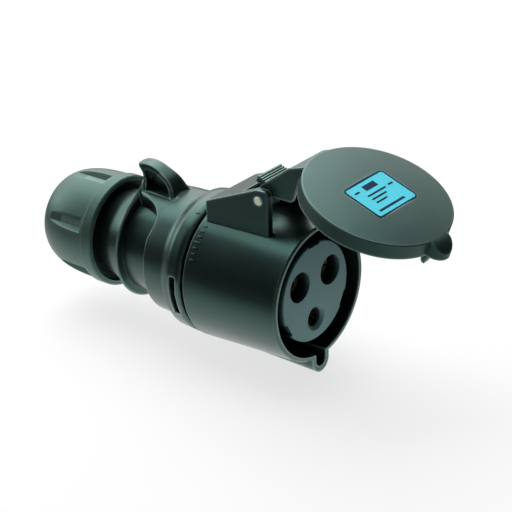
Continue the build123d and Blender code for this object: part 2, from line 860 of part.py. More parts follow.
def fin_outline():
    """Side view of the finger fin: bulging back, hooked tip, hollow rear edge."""
    back = Spline(
        fin_point(0.0, -0.15),
        fin_point(0.085, 0.26),
        fin_point(0.215, 0.59),
        fin_point(0.38, 0.78),
        fin_point(0.625, 0.98),
        fin_point(1.145, 0.968),
    )
    tip = ThreePointArc(back @ 1, fin_point(1.17, 0.90), fin_point(1.145, 0.83))
    rear = Spline(
        tip @ 1,
        fin_point(0.985, 0.69),
        fin_point(0.94, 0.40),
        fin_point(0.99, 0.05),
        fin_point(1.0, -0.35),
    )
    foot = Polyline(rear @ 1, fin_point(0.0, -0.35), back @ 0)
    return make_face([back, tip, rear, foot])


def fin_core_outline():
    """Side view of the hollow on each side of the fin, inside its back and its rear rib."""
    under_back = Spline(
        fin_point(0.15, -0.25),
        fin_point(0.19, 0.20),
        fin_point(0.30, 0.47),
        fin_point(0.62, 0.76),
        fin_point(0.91, 0.80),
    )
    along_rib = Spline(fin_point(0.90, 0.70), fin_point(0.855, 0.40), fin_point(0.87, -0.25))
    ends = [Line(under_back @ 1, along_rib @ 0), Line(along_rib @ 1, under_back @ 0)]
    return make_face([under_back, along_rib] + ends)


def fin_front_view():
    """Front view of the fin: broad at its foot, narrow and upright above."""
    foot_r = barrel_rear_r - 0.35 * fin_height
    tip_r = barrel_rear_r + fin_height + 1
    side = Spline(
        (fin_foot_half_width + 1.6, foot_r),
        (fin_foot_half_width, barrel_rear_r - 0.8),
        (fin_tip_half_width + 0.6, barrel_rear_r + 0.55 * fin_height),
        (fin_tip_half_width, tip_r),
        tangents=[(-0.5, 1.0), (-0.05, 1.0)],
    )
    far = mirror(side, Plane.YZ)
    outline = make_face([side, far, Line(side @ 0, far @ 0), Line(side @ 1, far @ 1)])
    return extrude(Plane.YZ.offset(fin_foot_x + 2) * outline, -1.4 * fin_reach)


def fin_plan():
    """Plan of the fin, rounded off behind the tip."""
    round_x = fin_point(1.032, 0.0)[0]
    end_x = fin_point(1.17, 0.0)[0]
    end = ThreePointArc((round_x, -fin_pad_half_width), (end_x, 0), (round_x, fin_pad_half_width))
    broad = fin_foot_half_width + 2
    sides = Polyline(
        end @ 1,
        (fin_point(0.5, 0)[0], broad),
        (fin_foot_x + 2, broad),
        (fin_foot_x + 2, -broad),
        (fin_point(0.5, 0)[0], -broad),
        end @ 0,
    )
    return extrude(make_face([end, sides]), barrel_rear_r + fin_height + 2)


def fin():
    """Hooked fin for a finger, cored from both sides down to a middle web."""
    body = extrude(Plane.XZ * fin_outline(), fin_foot_half_width + 2, both=True)
    body = body & fin_front_view() & fin_plan()
    core = extrude(Plane.XZ * fin_core_outline(), fin_foot_half_width + 2, both=True)
    core -= block(-200, 0, -fin_web / 2, fin_web / 2, 0, 100)
    return body - (core - drum(0, -200, barrel_rear_r))


def bayonet_cut():
    """Blind grooves in the ring for the lugs, each with its entry slot."""
    front = lug_centre_x + lug_width / 2 + lug_axial_play
    rear = lug_centre_x - lug_width / 2 - lug_axial_play
    deep = joint_r + lug_height + 0.2
    start = lug_angle - lug_span / 2 - 1 - twist_travel
    run = sector(front, rear, deep, joint_r - 1, start, twist_travel + lug_span + 2)
    entry = sector(ring_front_x + 1, rear, deep, joint_r - 1, start, lug_span + 2)
    return run + entry


def lock_window():
    """Slot through the ring in which a lug shows."""
    return sector(
        lug_centre_x + lug_width / 2 + lug_axial_play,
        lug_centre_x - lug_width / 2 - lug_axial_play,
        ring_front_r + 2,
        joint_r - 1,
        lug_angle + lug_span / 2 + 1 - window_span,
        window_span,
    )


def rear_bore():
    """Inside of the rear housing: socket of the twist joint, wiring room, seat of the cage."""
    throat_r = flare_end_r - shell_wall - 0.6
    neck_bore_r = neck_r - shell_wall
    return turned(
        [
            (ring_front_x + 1, 0),
            (ring_front_x + 1, socket_r),
            (seat_x, socket_r),
            (seat_x, cavity_r),
            (groove_front_x + 1.5, cavity_r),
            (groove_front_x - 2.0, neck_bore_r),
            (groove_rear_x - 1.0, neck_bore_r),
            (flare_end_x + 3.0, throat_r),
            (cage_front_x + 0.1, throat_r),
            (cage_front_x + 0.1, cage_r + running_gap),
            (thread_end_x - 1, cage_r + running_gap),
            (thread_end_x - 1, 0),
        ]
    )


def rear_housing():
    """Locking ring, barrel, finger groove, fin, collar and the spigot for the gland."""
    crest = neck_web() + fin() + collar_peak()
    body = revolve(Plane.XZ * rear_profile(grooved_neck()), Axis.X) + around(crest, fin_angle)
    body -= rear_bore()
    for n in range(lug_count):
        body -= around(bayonet_cut(), 360 / lug_count * n)
    return body - lock_window()


# ---- cable gland ----
def clamp_cage():
    """Sleeve with a crown of fingers that the nut presses in."""
    inner = cage_r - cage_wall
    body = turned(
        [
            (cage_front_x, inner),
            (cage_front_x, cage_r),
            (thread_end_x - 0.5, cage_r),
            (cage_finger_end_x, cage_r - 2.6),
            (cage_finger_end_x, inner - 1.6),
            (thread_end_x - 2.5, inner),
        ]
    )
    for n in range(cage_finger_count):
        slot = block(
            cage_finger_end_x - 1, thread_end_x - 1.0, -cage_slot / 2, cage_slot / 2, 2.0, cage_r + 2
        )
        body -= around(slot, 360 / cage_finger_count * n)
    return body


def cable_seal():
    """Rubber sleeve that grips the cable."""
    outer = cage_r - cage_wall - slip_gap
    rear = cage_front_x - seal_length
    return turned(
        [
            (cage_front_x, seal_bore_r),
            (cage_front_x, outer),
            (thread_end_x - 2.5, outer),
            (rear, outer - 1.2),
            (rear, seal_bore_r),
        ]
    )


def thrust_ring():
    """Slip ring between the nut and the cage, so that the cage doesn't turn."""
    front = cage_finger_end_x - 0.1
    return ring(front, front - thrust_ring_length, cage_r - 1.9, cable_hole_r + 0.2)


def nut_profile():
    """Half section of the nut: banded mouth, domed back."""
    shoulder_step = (nut_band_x - 0.5, nut_dome_r)
    dome = Spline(
        shoulder_step,
        (thread_end_x, nut_dome_r - 0.5),
        (thread_end_x - 0.58 * nut_dome_length, nut_dome_r - 2.5),
        (nut_end_x, nut_eye_r),
        tangents=[(-1.0, -0.02), (-0.3, -1.0)],
    )
    thrust_x = cage_finger_end_x - 0.1 - thrust_ring_length - running_gap
    mouth_r = thread_r + nut_mouth_room
    rest = Polyline(
        (nut_end_x, nut_eye_r),
        (nut_end_x, cable_hole_r),
        (thrust_x, cable_hole_r),
        (thrust_x, cage_r - 1.9 + running_gap),
        (cage_finger_end_x + 0.3, cage_r - 1.7),
        (thread_end_x - 1.0, cage_r + 0.6),
        (thread_end_x - 1.0, thread_r + running_gap),
        (nut_band_x, thread_r + running_gap),
        (nut_band_x + 1.2, mouth_r),
        (nut_front_x, mouth_r),
        (nut_front_x, nut_front_r - 0.5),
        (nut_front_x - 0.5, nut_front_r),
        (nut_band_x, nut_front_r),
        shoulder_step,
    )
    return make_face([dome, rest])


def grip_flute():
    """Flat-floored notch with sloping sides, drawn in from the dome's end."""
    half_floor = flute_floor_half_width
    rise = 3.0
    section = Polyline(
        (-half_floor, flute_floor_r),
        (half_floor, flute_floor_r),
        (half_floor + rise, flute_floor_r + rise),
        (-half_floor - rise, flute_floor_r + rise),
        close=True,
    )
    front_x = nut_band_x - flute_setback
    return extrude(Plane.YZ.offset(nut_end_x - 2) * make_face(section), front_x - nut_end_x + 2)


def gland_nut():
    """Domed nut with six grip flutes."""
    body = revolve(Plane.XZ * nut_profile(), Axis.X)
    for n in range(flute_count):
        body -= around(grip_flute(), flute_angle + 360 / flute_count * n)
    return body


PARTS = {
    "front_housing": front_housing,
    "contact_carrier": contact_carrier,
    "line_contact": lambda: contact("line"),
    "neutral_contact": lambda: contact("neutral"),
    "earth_contact": lambda: contact("earth"),
    "contact_clips": lambda: Compound(children=[contact_clip(name) for name in CONTACTS]),
    "terminal_screws": lambda: Compound(children=[terminal_screw(name) for name in CONTACTS]),
    "contact_retainer": contact_retainer,
    "retainer_screw": retainer_screw,
    "coupling_seal": coupling_seal,
    "hinge_pin": hinge_pin,
    "lid_spring": lid_spring,
    "lid": lid,
    "lid_gasket": lid_gasket,
    "lid_label": lid_label,
    "rear_housing": rear_housing,
    "clamp_cage": clamp_cage,
    "cable_seal": cable_seal,
    "thrust_ring": thrust_ring,
    "gland_nut": gland_nut,
}

for node, build in PARTS.items():
    export_step(build(), f"parts/{node}.step")
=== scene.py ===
"""Looks of the black 16 A caravan hook-up connector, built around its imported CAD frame.

Metres. X is the plug axis with +X out of the mouth, Z is up through the lid hinge, and the origin is
on the axis in the plane of the mouth rim. The lid stands open, and the rear housing is locked.
"""
import json
import math

import bmesh
import bpy
import numpy as np
from mathutils import Matrix, Vector

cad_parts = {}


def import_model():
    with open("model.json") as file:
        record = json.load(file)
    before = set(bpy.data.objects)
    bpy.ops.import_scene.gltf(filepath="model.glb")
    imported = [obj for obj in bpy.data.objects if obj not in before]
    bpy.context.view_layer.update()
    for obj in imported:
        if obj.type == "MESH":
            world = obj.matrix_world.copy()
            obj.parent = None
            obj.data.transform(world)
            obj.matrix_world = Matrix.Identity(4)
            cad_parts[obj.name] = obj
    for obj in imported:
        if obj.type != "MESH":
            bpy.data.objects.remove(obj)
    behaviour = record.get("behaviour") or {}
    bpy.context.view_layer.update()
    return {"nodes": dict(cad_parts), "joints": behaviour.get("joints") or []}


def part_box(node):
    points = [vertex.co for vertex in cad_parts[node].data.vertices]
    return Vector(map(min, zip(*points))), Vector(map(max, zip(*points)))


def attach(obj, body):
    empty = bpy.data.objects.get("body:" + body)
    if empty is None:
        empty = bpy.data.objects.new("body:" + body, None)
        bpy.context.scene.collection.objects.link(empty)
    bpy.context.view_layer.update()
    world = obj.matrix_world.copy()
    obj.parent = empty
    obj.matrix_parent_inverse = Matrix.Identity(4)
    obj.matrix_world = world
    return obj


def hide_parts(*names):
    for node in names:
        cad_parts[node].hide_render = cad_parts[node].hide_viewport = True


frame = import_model()
MM = 0.001


# ---- places read from the frame ----
def joint(name):
    """Joint of the frame by its name."""
    return next(j for j in frame["joints"] if j["name"] == name)


hinge = Vector(joint("lid_hinge")["pos_m"])
lid_open = math.radians(-joint("lid_hinge")["range_deg"][0])


def on_lid(points):
    """Carries points of the closed lid to the open lid.

    Each point turns about the hinge line, which runs along Y, by the opening angle, from +X up to +Z.
    """
    p = np.asarray(points, float) - np.array(hinge)
    c, s = math.cos(lid_open), math.sin(lid_open)
    x, z = p[..., 0] * c - p[..., 2] * s, p[..., 0] * s + p[..., 2] * c
    return np.stack([x, p[..., 1], z], axis=-1) + np.array(hinge)


# ---- mesh helpers ----
def grid_faces(rows, cols, wrap_rows=False, wrap_cols=False):
    """Quads between neighbours of a rows by cols grid of points, closed on the ways that wrap."""
    i = np.arange(rows if wrap_rows else rows - 1)[:, None]
    j = np.arange(cols if wrap_cols else cols - 1)[None, :]
    i2, j2 = (i + 1) % rows, (j + 1) % cols
    quads = np.stack([i * cols + j, i2 * cols + j, i2 * cols + j2, i * cols + j2], axis=-1)
    return quads.reshape(-1, 4)


def solid_between(first, second):
    """Closed solid between two grids of the same shape: both grids and a strip round their border."""
    rows, cols = first.shape[:2]
    grid = grid_faces(rows, cols)
    size = rows * cols
    index = np.arange(size).reshape(rows, cols)
    border = np.concatenate([index[0], index[1:, -1], index[-1, -2::-1], index[-2:0:-1, 0]])
    after = np.roll(border, -1)
    sides = np.stack([border, after, after + size, border + size], axis=1)
    faces = np.concatenate([grid, grid[:, ::-1] + size, sides])
    return np.concatenate([first.reshape(-1, 3), second.reshape(-1, 3)]), faces.tolist()


def joined(parts):
    """Points and faces of several parts as those of one."""
    points, faces, used = [], [], 0
    for part_points, part_faces in parts:
        points.append(part_points)
        faces += [tuple(used + k for k in face) for face in part_faces]
        used += len(part_points)
    return np.concatenate(points), faces


def tube_of(path, across, up, profile, wrap=False):
    """Profile carried along a path.

    The point for path place i and profile place j is path[i] + a[j] * across[i] + b[j] * up[i], where
    (a, b) are the profile's own coordinates. An open path is closed with a face at each end.
    """
    a, b = profile[:, 0], profile[:, 1]
    points = path[:, None, :] + a[None, :, None] * across[:, None, :] + b[None, :, None] * up[:, None, :]
    rows, cols = len(path), len(profile)
    faces = [tuple(q) for q in grid_faces(rows, cols, wrap, True)]
    if not wrap:
        faces.append(tuple(range(cols)))
        faces.append(tuple(range((rows - 1) * cols, rows * cols))[::-1])
    return points.reshape(-1, 3), faces


def piece(name, points, faces, material, body, smooth_under=40.0):
    """Mesh object that rides on a body, with its place held in its points."""
    mesh = bpy.data.meshes.new(name)
    mesh.from_pydata([tuple(p) for p in points], [], faces)
    mesh.materials.append(material)
    mesh.update()
    obj = bpy.data.objects.new(name, mesh)
    bpy.context.scene.collection.objects.link(obj)
    outward(obj)
    mesh.set_sharp_from_angle(angle=math.radians(smooth_under))
    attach(obj, body)
    return obj


def outward(obj):
    """Turns every face outwards, and makes them smooth."""
    bm = bmesh.new()
    bm.from_mesh(obj.data)
    bmesh.ops.recalc_face_normals(bm, faces=bm.faces)
    for face in bm.faces:
        face.smooth = True
    bm.to_mesh(obj.data)
    bm.free()


# ---- materials ----
class Nodes:
    """Short way to write a material's nodes."""

    def __init__(self, name, material=None):
        self.material = material or bpy.data.materials.new(name)
        self.material.use_nodes = True
        self.tree = self.material.node_tree
        self.shader = self.tree.nodes["Principled BSDF"]
        self.place = self.add("ShaderNodeTexCoord").outputs["Object"]

    def add(self, kind, **values):
        node = self.tree.nodes.new(kind)
        for key, value in values.items():
            setattr(node, key, value)
        return node

    def link(self, out, socket):
        self.tree.links.new(out, socket)

    def noise(self, scale, detail=2.0, stretch=(1.0, 1.0, 1.0)):
        """Noise at a scale in patches per metre, stretched by an axis factor."""
        place = self.add("ShaderNodeMapping")
        place.inputs["Scale"].default_value = stretch
        self.link(self.place, place.inputs["Vector"])
        noise = self.add("ShaderNodeTexNoise")
        noise.inputs["Scale"].default_value = scale
        noise.inputs["Detail"].default_value = detail
        self.link(place.outputs["Vector"], noise.inputs["Vector"])
        return noise.outputs["Fac"]

    def spread(self, value, low, high, start=0.3, end=0.7):
        """Value from start to end becomes low to high."""
        ramp = self.add("ShaderNodeMapRange")
        for key, number in (("From Min", start), ("From Max", end), ("To Min", low), ("To Max", high)):
            ramp.inputs[key].default_value = number
        self.link(value, ramp.inputs["Value"])
        return ramp.outputs["Result"]

    def maths(self, operation, *values):
        """One arithmetic step on sockets or plain numbers."""
        node = self.add("ShaderNodeMath", operation=operation)
        for socket, value in zip(node.inputs, values):
            if isinstance(value, (int, float)):
                socket.default_value = value
            else:
                self.link(value, socket)
        return node.outputs[0]

    def mix(self, factor, first, second):
        """Colour that goes from first to second as the factor goes from 0 to 1."""
        mix = self.add("ShaderNodeMix", data_type="RGBA")
        self.link(factor, mix.inputs["Factor"])
        for socket, colour in ((mix.inputs["A"], first), (mix.inputs["B"], second)):
            if isinstance(colour, tuple):
                socket.default_value = (*colour, 1.0)
            else:
                self.link(colour, socket)
        return mix.outputs["Result"]

    def rounded(self, radius):
        """Normal of a surface whose sharp edges are rounded off to a radius in metres."""
        edge = self.add("ShaderNodeBevel", samples=EDGE_SAMPLES)
        edge.inputs["Radius"].default_value = radius
        return edge.outputs["Normal"]

    def convex(self, reach):
        """One on a sharp outside edge, nought on the flat: how much of the near inside is missing. It masks
        the painted edge highlight.
        """
        inside = self.add(
            "ShaderNodeAmbientOcclusion", samples=EDGE_SAMPLES, inside=True, only_local=True
        )
        inside.inputs["Distance"].default_value = reach
        return self.spread(inside.outputs["AO"], 1.0, 0.0, SHARP_EDGE, FLAT_FACE)

    def bump(self, height, depth, under=None):
        """Bump of a depth in metres, over another bump if there is one."""
        bump = self.add("ShaderNodeBump")
        bump.inputs["Strength"].default_value = 1.0
        bump.inputs["Distance"].default_value = depth
        self.link(height, bump.inputs["Height"])
        if under is not None:
            self.link(under, bump.inputs["Normal"])
        return bump.outputs["Normal"]


EDGE_SAMPLES, EDGE_RADIUS, EDGE_REACH = 6, 0.3 * MM, 0.9 * MM
SHARP_EDGE, FLAT_FACE = 0.52, 0.93   # share of the near inside that is there, on an edge and on the flat
CLOUD_SCALE = 65.0                   # patches per metre, each about 15 mm across
TOOL_SCALE, TOOL_DEPTH = 140.0, 0.08 * MM


def moulded(
    name, colour, pale, roughness, grain, grain_depth, tint, level=0.5, flow=(1.0, 1.0, 1.0), painted_highlight=None
):
    """Moulded plastic: slow cloudiness of colour and gloss, spark-eroded grain, and tool waves.

    The colour lies between the plain one and a paler one. The grain is noise of its own size, and flow
    stretches the slow patches along the way the plastic ran. Sharp edges look round. Where a painted
    highlight colour is given, the outside edges turn to it as a painted highlight, in place of light
    caught on their rounding.
    """
    n = Nodes(name)
    cloud = n.noise(CLOUD_SCALE, 3.0, flow)
    speck = n.noise(grain, 3.0)
    base = n.mix(n.spread(cloud, 0.0, 1.0), colour, pale)
    grained = n.mix(n.spread(speck, 0.0, 0.35, 0.45, 0.7), base, pale)
    if painted_highlight is not None:
        # painted highlight: outside edges turn paler, standing in for light caught on rounded edges
        grained = n.mix(n.convex(EDGE_REACH), grained, painted_highlight)
    n.link(grained, n.shader.inputs["Base Color"])
    gloss = n.maths(
        "ADD", n.spread(cloud, roughness - 0.03, roughness + 0.03), n.spread(speck, -0.03, 0.05)
    )
    n.link(gloss, n.shader.inputs["Roughness"])
    waves = n.bump(n.noise(TOOL_SCALE, 1.0, flow), TOOL_DEPTH, n.rounded(EDGE_RADIUS))
    n.link(n.bump(speck, grain_depth, waves), n.shader.inputs["Normal"])
    n.shader.inputs["Specular Tint"].default_value = (*tint, 1.0)
    n.shader.inputs["Specular IOR Level"].default_value = level
    return n.material


def shade_painted_behind(material, front, depth, dark):
    """Painted shade: the colour of a moulding turns dark from its front face backwards, over a depth along
    X, standing in for shade deep in its openings.
    """
    n = Nodes(material.name, material)
    split = n.add("ShaderNodeSeparateXYZ")
    n.link(n.place, split.inputs[0])
    face = n.spread(split.outputs["X"], 0.0, 1.0, front - depth, front)
    base = n.shader.inputs["Base Color"]
    n.link(n.mix(face, dark, base.links[0].from_socket), base)


def metal(name, colour, dull, roughness, line_scale, axis):
    """Drawn or turned metal: fine lines across one axis, and a dull bloom in patches."""
    n = Nodes(name)
    lines = n.noise(line_scale, 4.0, axis)
    bloom = n.noise(350.0, 3.0)
    n.link(n.mix(n.spread(bloom, 0.0, 1.0), colour, dull), n.shader.inputs["Base Color"])
    n.link(n.spread(lines, roughness - 0.08, roughness + 0.12), n.shader.inputs["Roughness"])
    n.link(n.bump(lines, 0.00001), n.shader.inputs["Normal"])
    n.shader.inputs["Metallic"].default_value = 1.0
    return n.material


def rubber(name, colour, bloom_colour):
    """Moulded rubber: soft sheen, dusty bloom and a fine matt grain."""
    n = Nodes(name)
    bloom = n.noise(240.0, 4.0)
    grain = n.noise(5200.0, 2.0)
    n.link(n.mix(n.spread(bloom, 0.0, 1.0, 0.4, 0.75), colour, bloom_colour), n.shader.inputs["Base Color"])
    n.link(n.spread(bloom, 0.6, 0.8), n.shader.inputs["Roughness"])
    n.link(n.bump(grain, 0.00002), n.shader.inputs["Normal"])
    return n.material


INSERT_SHADE_X, INSERT_SHADE_FADE = -1.8 * MM, 2.2 * MM   # where painted shade on the insert starts behind its front face, and over how much it deepens
COOL = (0.42, 1.0, 0.88)      # tint of the plastic's gloss
EDGE_HIGHLIGHT_COLOUR = (0.20, 0.29, 0.265)    # painted highlight colour of the outside edges
housing_black = moulded(
    "housing_black", (0.0040, 0.0062, 0.0060), (0.0062, 0.0095, 0.0090), 0.34, 3400.0, 0.00001, COOL, 0.65,
    (0.4, 1.0, 1.0), painted_highlight=EDGE_HIGHLIGHT_COLOUR,
)
tick_black = moulded(
    "tick_black", (0.010, 0.015, 0.014), (0.014, 0.021, 0.020), 0.4, 3400.0, 0.00001, COOL, 0.6
)
nut_black = moulded(
    "nut_black", (0.026, 0.044, 0.037), (0.038, 0.061, 0.052), 0.44, 3000.0, 0.00002, COOL, 0.7,
    # painted highlight colour on the nut's outside edges
    painted_highlight=(0.13, 0.19, 0.17),
)
lid_grey = moulded(
    "lid_grey", (0.011, 0.023, 0.022), (0.015, 0.030, 0.028), 0.38, 2400.0, 0.00003, COOL, 0.66,
    painted_highlight=EDGE_HIGHLIGHT_COLOUR,
)
insert_grey = moulded(
    "insert_grey", (0.072, 0.144, 0.152), (0.088, 0.166, 0.176), 0.42, 3600.0, 0.00001, COOL, 0.4
)
# painted shade on the insert's bores, notches and sides behind its front face, which are dark for want of
# light
shade_painted_behind(insert_grey, INSERT_SHADE_X, INSERT_SHADE_FADE, (0.006, 0.009, 0.010))
cage_grey = moulded(
    "cage_grey", (0.20, 0.22, 0.215), (0.26, 0.28, 0.27), 0.5, 3000.0, 0.00001, (1.0, 1.0, 1.0)
)
label_blue = moulded(
    "label_blue", (0.10, 0.72, 0.90), (0.12, 0.78, 0.96), 0.6, 2600.0, 0.000006, COOL, 0.12
)
label_ink = moulded(
    "label_ink", (0.006, 0.020, 0.060), (0.010, 0.032, 0.085), 0.6, 2600.0, 0.000006, COOL, 0.1
)
brass = metal("brass", (0.62, 0.50, 0.27), (0.45, 0.36, 0.20), 0.34, 900.0, (1.0, 14.0, 14.0))
steel = metal("steel", (0.94, 0.99, 0.84), (0.86, 0.95, 0.78), 0.62, 900.0, (14.0, 1.0, 14.0))
seal_rubber = rubber("rubber", (0.016, 0.018, 0.018), (0.035, 0.038, 0.037))

SLOT_MATERIALS = {
    "housing_black": housing_black,
    "nut_black": nut_black,
    "lid_grey": lid_grey,
    "insert_grey": insert_grey,
    "brass": brass,
    "steel": steel,
    "rubber": seal_rubber,
    "label_blue": label_blue,
    "cage_grey": cage_grey,
}
for node in frame["nodes"].values():
    for socket in node.material_slots:
        socket.material = SLOT_MATERIALS[socket.material.name.split(".")[0]]


# ---- small pieces on the mouldings ----
LABEL_FACE, LABEL_MIDDLE = 6.70 * MM, -1.3 * MM
LABEL_HALF_WIDTH, LABEL_HALF_HEIGHT, LABEL_CORNER = 10.35 * MM, 7.85 * MM, 1.3 * MM
LABEL_LINE, LABEL_FILM = 0.6 * MM, 0.03 * MM
LABEL_BARS = [
    (y0 * MM, y1 * MM, z * MM, thick * MM)
    for y0, y1, z, thick in (
        (-3.0, 3.2, 4.6, 2.4),
        (-8.0, -5.6, 4.4, 0.7),
        (-5.0, 4.4, 1.4, 0.7),
        (-5.0, 2.6, -0.4, 0.7),
        (-5.0, 0.6, -2.2, 0.7),
        (6.0, 8.4, 1.6, 0.7),
        (-7.6, 5.6, -5.4, 0.9),
    )
]
SHROUD_FRONT_R, SHROUD_REAR_R, SHROUD_LENGTH = 24.0 * MM, 25.2 * MM, 38.3 * MM
RING_R = 24.9 * MM
TICK_RISE, TICK_SINK, TICK_UNDER = 0.28 * MM, 0.10 * MM, 0.99
TICK_ROWS, TICK_COLS = 13, 9
SHROUD_TICKS = [(-35.6 * MM, 36.0 + 4.6 * n, (1.5 if n == 3 else 1.0) * MM, 0.35 * MM) for n in range(7)]
RING_TICKS = [(-41.6 * MM, 26.5, 0.9 * MM, 0.5 * MM)]
SPRING_R, SPRING_WIRE_R, SPRING_PITCH = 2.12 * MM, 0.22 * MM, 0.6 * MM
SPRING_TURNS, SPRING_STEPS, LEG_STEPS, WIRE_SIDES = 4.5832, 240, 5, 12
SPRING_START = math.radians(270.06)
ROOF_LEG, LEVER_LEG = 9.6 * MM, 5.0 * MM


def strip(half_width, thickness):
    """Rectangular profile, from under a surface to a thickness above it."""
    corners = ((-1, -1), (1, -1), (1, 1), (-1, 1))
    return np.array(corners) * np.array([half_width, thickness])


def rounded_frame(half_width, half_height, corner, steps):
    """Loop of points round a rectangle with round corners, and the outward direction at each.

    A corner's points lie on a quarter circle about the corner's own middle, from one side to the next.
    """
    turn = np.arange(4)[:, None] * math.pi / 2 + np.linspace(0.0, math.pi / 2, steps)[None, :]
    turn = turn.reshape(-1)
    out = np.stack([np.cos(turn), np.sin(turn)], axis=1)
    side = np.repeat(np.array([(1, 1), (-1, 1), (-1, -1), (1, -1)]), steps, axis=0)
    middle = side * np.array([half_width - corner, half_height - corner])
    return middle + corner * out, out


def label_print():
    """Dark line round the label and plain bars in place of its words, a film thick."""
    face_x, middle_z = LABEL_FACE, LABEL_MIDDLE
    loop, out = rounded_frame(
        LABEL_HALF_WIDTH - LABEL_LINE / 2, LABEL_HALF_HEIGHT - LABEL_LINE / 2, LABEL_CORNER, 7
    )
    count = len(loop)
    path = np.column_stack([np.full(count, face_x), loop[:, 0], loop[:, 1] + middle_z])
    across = np.column_stack([np.zeros(count), out])
    up = np.tile((1.0, 0.0, 0.0), (count, 1))
    points, faces = tube_of(path, across, up, strip(LABEL_LINE / 2, LABEL_FILM), wrap=True)
    piece("label_border", on_lid(points), faces, label_ink, "lid_body")
    bars = []
    for start, end, height, thick in LABEL_BARS:
        path = np.array([(face_x, y, height + middle_z) for y in (start, end)])
        across = np.tile((0.0, 0.0, 1.0), (2, 1))
        up = np.tile((1.0, 0.0, 0.0), (2, 1))
        bars.append(tube_of(path, across, up, strip(thick / 2, LABEL_FILM)))
    points, faces = joined(bars)
    piece("label_bars", on_lid(points), faces, label_ink, "lid_body")


def shroud_radius(x):
    """Outside radius of the shroud at a station behind the rim, which grows evenly to its rear."""
    return SHROUD_FRONT_R + (SHROUD_REAR_R - SHROUD_FRONT_R) * (-x / SHROUD_LENGTH)


def raised_ticks(name, ticks, radius, material, body):
    """Short raised bars that lie along X on a round surface.

    A tick's top is a grid over X and the angle from the top towards the near side. The height over
    the surface falls from the middle to nothing at the edge as one minus the eighth power of the share
    of the half width or half length, whichever is larger. The underside is the top, a little nearer to
    the axis.
    """
    u, v = np.meshgrid(np.linspace(-1, 1, TICK_ROWS), np.linspace(-1, 1, TICK_COLS), indexing="ij")
    share = np.maximum(np.abs(u), np.abs(v)) ** 8
    solids = []
    for x, angle, half_length, half_width in ticks:
        r = radius(x + u * half_length) + TICK_RISE * (1 - share) - TICK_SINK * share
        turn = math.radians(angle) + v * half_width / radius(x)
        top = np.stack([x + u * half_length, -r * np.sin(turn), r * np.cos(turn)], axis=-1)
        solids.append(solid_between(top, top * np.array([1.0, TICK_UNDER, TICK_UNDER])))
    points, faces = joined(solids)
    piece(name, points, faces, material, body)


def round_spring():
    """Round wire of the lid spring, along the line of its CAD coil.

    The coil is a helix about the hinge line: x and z go round by the cosine and sine of the angle,
    and y moves evenly with it. A straight leg leaves each end along the coil's own direction.
    """
    turn = np.linspace(SPRING_START, SPRING_START + SPRING_TURNS * 2 * math.pi, SPRING_STEPS)
    share = np.linspace(0.5, -0.5, SPRING_STEPS)
    out = np.column_stack([np.cos(turn), np.zeros(SPRING_STEPS), np.sin(turn)])
    coil = np.array(hinge) + SPRING_R * out
    coil[:, 1] += share * SPRING_TURNS * SPRING_PITCH
    along = np.gradient(coil, axis=0)
    along /= np.linalg.norm(along, axis=1)[:, None]
    steps = np.linspace(1.0, 0.2, LEG_STEPS)[:, None]
    path = np.concatenate(
        [
            coil[0] - steps * ROOF_LEG * along[0],
            coil,
            coil[-1] + steps[::-1] * LEVER_LEG * along[-1],
        ]
    )
    legs = (LEG_STEPS, 1)
    along = np.concatenate([np.tile(along[0], legs), along, np.tile(along[-1], legs)])
    up = np.concatenate([np.tile(out[0], legs), out, np.tile(out[-1], legs)])
    across = np.cross(along, up)
    turn = np.linspace(0.0, 2 * math.pi, WIRE_SIDES, endpoint=False)
    wire = SPRING_WIRE_R * np.column_stack([np.cos(turn), np.sin(turn)])
    points, faces = tube_of(path, across, up, wire)
    obj = piece("spring_wire", points, faces, steel, "front", 60.0)
    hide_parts("lid_spring")


# ---- finger groove of the rear housing ----
EDGE_R, EDGE_ROUND, WALL_SLOPE = 21.815 * MM, 0.75 * MM, 3.4
EDGE_STARTS, EDGE_START_X = 5.72 * MM, -72.25 * MM    # beside the fin, at the collar
EDGE_CRESTS, EDGE_CREST_X = 15.9 * MM, -57.5 * MM     # where the edge lies furthest forward
EDGE_DIPS, EDGE_DIP_X = 22.8 * MM, -58.25 * MM
EDGE_LEVELS, EDGE_LEVEL_X = 31.0 * MM, -58.0 * MM     # from here it is level to the underside
EDGE_STEP = 0.1 * MM
COLLAR_CORNERS = ((0.77, 0.638), (0.575, 0.86), (0.18, 1.125))   # shares of the rim's radius
COLLAR_R, COLLAR_RIM_X, RIM_ROUND, FLANK_SLOPE = 20.2 * MM, -72.35 * MM, 0.35 * MM, 5.5
NECK_R, FOOT_ROUND, CUTTER_R = 17.27 * MM, 0.3 * MM, 24.3 * MM
NEAR_FIN, NEAR_COUNT, ROUND_COUNT, ALONG_COUNT = 16.0 * MM, 90, 70, 64
FIN_TURN = math.radians(3.0)
FILL_REAR_X, FILL_FRONT_X, FILL_ALONG, FILL_ROUND = -70.7 * MM, -57.3 * MM, 56, 900
FILL_START, FILL_FADE, FILL_SINK = math.radians(13.2), math.radians(0.8), 0.25 * MM
FILL_UNDER_R, FILL_FRONT_UNDER_R, FILL_SLOPE = 16.6 * MM, 19.2 * MM, 1.31
WELD, SHELL_SMOOTH = 0.001 * MM, 32.0


def eased(value, start, end):
    """Goes from nought to one between two values, as half a cosine wave."""
    return (1 - np.cos(math.pi * np.clip((value - start) / (end - start), 0, 1))) / 2


